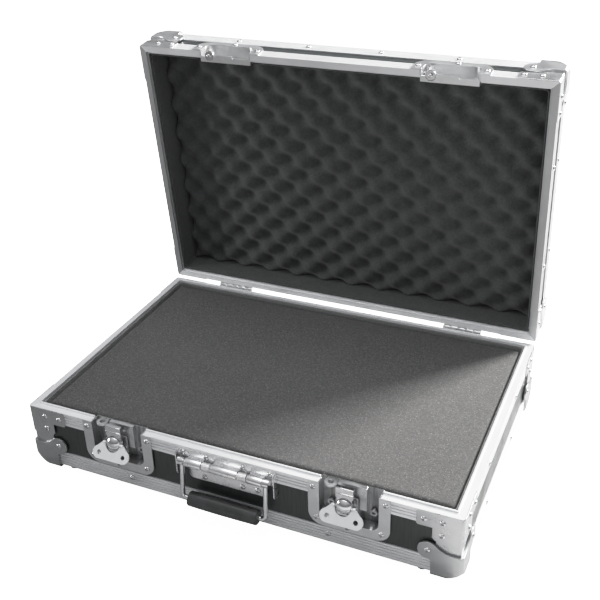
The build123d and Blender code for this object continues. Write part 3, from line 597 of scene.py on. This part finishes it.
def base_foam(material):
    """The base's foam block: a flat sawn top with a soft wave and rounded edges."""
    low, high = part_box("base_foam_block")
    wave = 0.35 * MM
    tooth = 0.12 * MM

    def top(x, y):
        swell = noise.noise(Vector((x * 14, y * 14, 0.3)))
        grain = noise.noise(Vector((x * 420, y * 420, 1.7)))
        return high.z - wave + swell * wave + grain * tooth

    def bottom(x, y):
        return low.z

    mesh = rounded_slab(low, high, 3.0 * MM, 2.2 * MM, top, bottom)
    foam = as_object("base_foam", finish_mesh(mesh, "base_foam"), material, "base")
    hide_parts("base_foam_block")


EGG_PITCH_X = 43.0 * MM
EGG_PITCH_Y = 42.0 * MM


def lid_foam(material):
    """Egg-crate foam in the lid: staggered rounded peaks over a base sheet, sawn square at its sides."""
    low, high = shut_box("lid_foam")
    middle = (low + high) / 2
    peak = low.z + 0.6 * MM
    depth = 12.0 * MM
    tooth = 0.15 * MM

    def face(x, y):
        u = math.tau * (x - middle.x) / EGG_PITCH_X
        v = math.tau * (y - middle.y) / EGG_PITCH_Y
        lift = (1 + math.cos(u) * math.cos(v)) / 2
        swell = noise.noise(Vector((x * 18, y * 18, 4.1))) * 0.8 * MM
        grain = noise.noise(Vector((x * 430, y * 430, 2.9))) * tooth
        return peak + depth * (1 - lift) + swell * lift + grain

    def back(x, y):
        return high.z

    # the peaks point down when the lid is shut, so the "top" sheet is the flat back
    mesh = rounded_slab(low, high, 2.6 * MM, 1.5 * MM, back, face)
    data = finish_mesh(mesh, "lid_egg_crate", LID_PLACE)
    foam = as_object("lid_egg_crate", data, material, "lid")
    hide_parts("lid_foam")


LINING = 2.5 * MM
DISH_GAP = (108.5 * MM, 182.5 * MM)     # where the lining is let out behind each dish, from the middle


def lining(name, node, material, body, low, high, thick, place=None):
    """A soft band round the inside of a tray, let out behind the two dishes, with rounded rims."""
    corner = 6.0 * MM
    corner_steps = 6
    profile_points = 9
    side_points = 5
    step = 9.0 * MM
    shortest = 0.1 * MM
    skin = 0.3 * MM       # the glued face, which stays flat
    bow = 0.25 * MM
    centre = (low + high) / 2
    half_x = (high.x - low.x) / 2
    half_y = (high.y - low.y) / 2

    def path():
        """Points and outward directions round a rounded rectangle."""
        gap_from, gap_to = DISH_GAP
        stops = []
        for sx, sy, start in ((1, 1, 0), (-1, 1, 90), (-1, -1, 180), (1, -1, 270)):
            for k in range(corner_steps + 1):
                a = math.radians(start + 90 * k / corner_steps)
                out = Vector((math.cos(a), math.sin(a), 0))
                hub = Vector((sx * (half_x - corner), sy * (half_y - corner), 0))
                stops.append((centre.xy.to_3d() + hub + out * corner, out))
        runs = [[]]
        for k, (point, out) in enumerate(stops):
            after, _ = stops[(k + 1) % len(stops)]
            runs[-1].append((point, out))
            if out.y < -0.99 and after.x - point.x > 2 * gap_to:
                cuts = [-gap_to, -gap_from, gap_from, gap_to]
                ends = [point.x] + cuts + [after.x]
                for start, stop in zip(ends[0::2], ends[1::2]):
                    count = max(1, int((stop - start) / step))
                    along = [start + (stop - start) * i / count for i in range(count + 1)]
                    runs[-1] += [(Vector((x, point.y, 0)), out) for x in along]
                    runs.append([])
                runs.pop()
                continue
            gap = (after - point).length
            if gap > 2 * step:
                count = int(gap / step)
                runs[-1] += [(point.lerp(after, (i + 1) / (count + 1)), out) for i in range(count)]
        return [runs[-1] + runs[0]] + runs[1:-1]

    def section():
        """(inward, height) round the band's rounded outline."""
        r = thick / 2
        turns = [math.radians(180 * k / (profile_points - 1)) for k in range(profile_points)]
        upper = [(r - r * math.cos(a), high.z - r + r * math.sin(a)) for a in turns]
        lower = [(r + r * math.cos(a), low.z + r - r * math.sin(a)) for a in turns]
        drop = high.z - low.z - 2 * r
        inner = [(thick, high.z - r - drop * k / side_points) for k in range(1, side_points)]
        outer = [(0.0, low.z + r + drop * k / side_points) for k in range(1, side_points)]
        return upper + inner + lower + outer

    mesh = bmesh.new()
    outline = section()
    for run in path():
        rings = []
        for point, out in run:
            if rings and (point - last).length < shortest:
                continue
            last = point
            ring = []
            for inward, z in outline:
                ripple = noise.noise(Vector((point.x * 30, point.y * 30, z * 60))) * bow
                deep = max(0.0, inward - skin) / thick
                spot = point - out * (inward + ripple * deep - bow * deep)
                ring.append(mesh.verts.new((spot.x, spot.y, z)))
            rings.append(ring)
        for ring, after in zip(rings, rings[1:]):
            for i in range(len(ring)):
                n = (i + 1) % len(ring)
                mesh.faces.new((ring[i], after[i], after[n], ring[n]))
        mesh.faces.new(rings[0])
        mesh.faces.new(list(reversed(rings[-1])))
    band = as_object(name, finish_mesh(mesh, name, place), material, body)
    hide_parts(node)


def springs():
    """The bail's two wound torsion springs, in place of their plain tubes."""
    low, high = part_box("handle_springs")
    wire = 0.55 * MM
    pitch = 2.3 * wire
    around = 16
    facets = 8
    steel = spring_wire("spring_steel")
    mesh = bmesh.new()
    for low_corner, high_corner in spring_ends(low, high):
        radius = (high_corner.z - low_corner.z) / 2 - wire
        turns = int((high_corner.x - low_corner.x) / pitch)
        hub = (low_corner + high_corner) / 2
        rings = []
        count = turns * around
        for k in range(count + 1):
            a = math.tau * k / around
            x = low_corner.x + wire + (high_corner.x - low_corner.x - 2 * wire) * k / count
            out = Vector((0, math.cos(a), math.sin(a)))
            spot = Vector((x, hub.y, hub.z)) + out * radius
            sides = [math.tau * i / facets for i in range(facets)]
            rings.append([mesh.verts.new(spot + (out * math.cos(s) + Vector((1, 0, 0)) * math.sin(s)) * wire)
                          for s in sides])
        for one, other in zip(rings, rings[1:]):
            for i in range(facets):
                n = (i + 1) % facets
                mesh.faces.new((one[i], other[i], other[n], one[n]))
        mesh.faces.new(rings[0])
        mesh.faces.new(list(reversed(rings[-1])))
    data = finish_mesh(mesh, "torsion_springs")
    coil = as_object("handle_torsion_springs", data, steel, "base")
    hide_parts("handle_springs")


def spring_ends(low, high):
    """The two springs' boxes, taken from the two halves of their CAD node."""
    middle = (low.x + high.x) / 2
    boxes = []
    for side in (-1, 1):
        points = [v.co for v in NODES["handle_springs"].data.vertices if (v.co.x - middle) * side > 0]
        boxes.append((Vector(min(p[i] for p in points) for i in range(3)),
                      Vector(max(p[i] for p in points) for i in range(3))))
    return boxes


# Name, darkest and lightest foam, the painted glints' colour and how far they show.
FOAM_GREYS = (
    ("base_foam_grey", (0.030, 0.0305, 0.0305), (0.088, 0.087, 0.086), (0.52, 0.52, 0.51), 0.42),
    ("lid_foam_grey", (0.046, 0.049, 0.049), (0.080, 0.083, 0.082), (0.16, 0.16, 0.16), 0.2),
    # The lining is a lighter copy of the base foam's grey: painted light on a band that sits in the rim's
    # shade.
    ("lining_grey", (0.12, 0.121, 0.121), (0.20, 0.201, 0.201), (0.28, 0.28, 0.28), 0.2),
)


def soft_parts():
    """Foams, linings and springs."""
    dark, crate, felt = [foam_surface(*greys) for greys in FOAM_GREYS]
    base_foam(dark)
    lid_foam(crate)
    low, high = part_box("base_liner")
    lining("base_lining", "base_liner", felt, "base", low, high, LINING)
    low, high = shut_box("lid_liner")
    lining("lid_lining", "lid_liner", crate, "lid", low, high, LINING, LID_PLACE)
    springs()


def soften_frame():
    """Small bevels on the extrusions and fittings."""
    for tray in ("base", "lid"):
        for part in ("rim_front", "rim_back", "rim_sides", "edge_front", "edge_back", "edge_sides"):
            soften(tray + "_" + part, 0.18 * MM)
        soften(tray + "_corner_angles", 0.18 * MM)
        soften(tray + "_braces", 0.25 * MM)
        soften(tray + "_ball_corners", 0.35 * MM)
    for name in ("lid_latch_dishes", "handle_plate", "hinge_base_leaves", "hinge_lid_leaves"):
        soften(name, 0.22 * MM)
    for side in ("left", "right"):
        for part in ("dish", "housing", "slide", "hook"):
            soften("latch_" + part + "_" + side, 0.2 * MM)
        soften("latch_wing_" + side, 0.35 * MM)
        soften("latch_key_" + side, 0.2 * MM)


add_camera()
add_world()
add_floor()
for light in LIGHTS:
    add_panel_light(*light)
dress_frame()
soft_parts()
soften_frame()
set_tone()
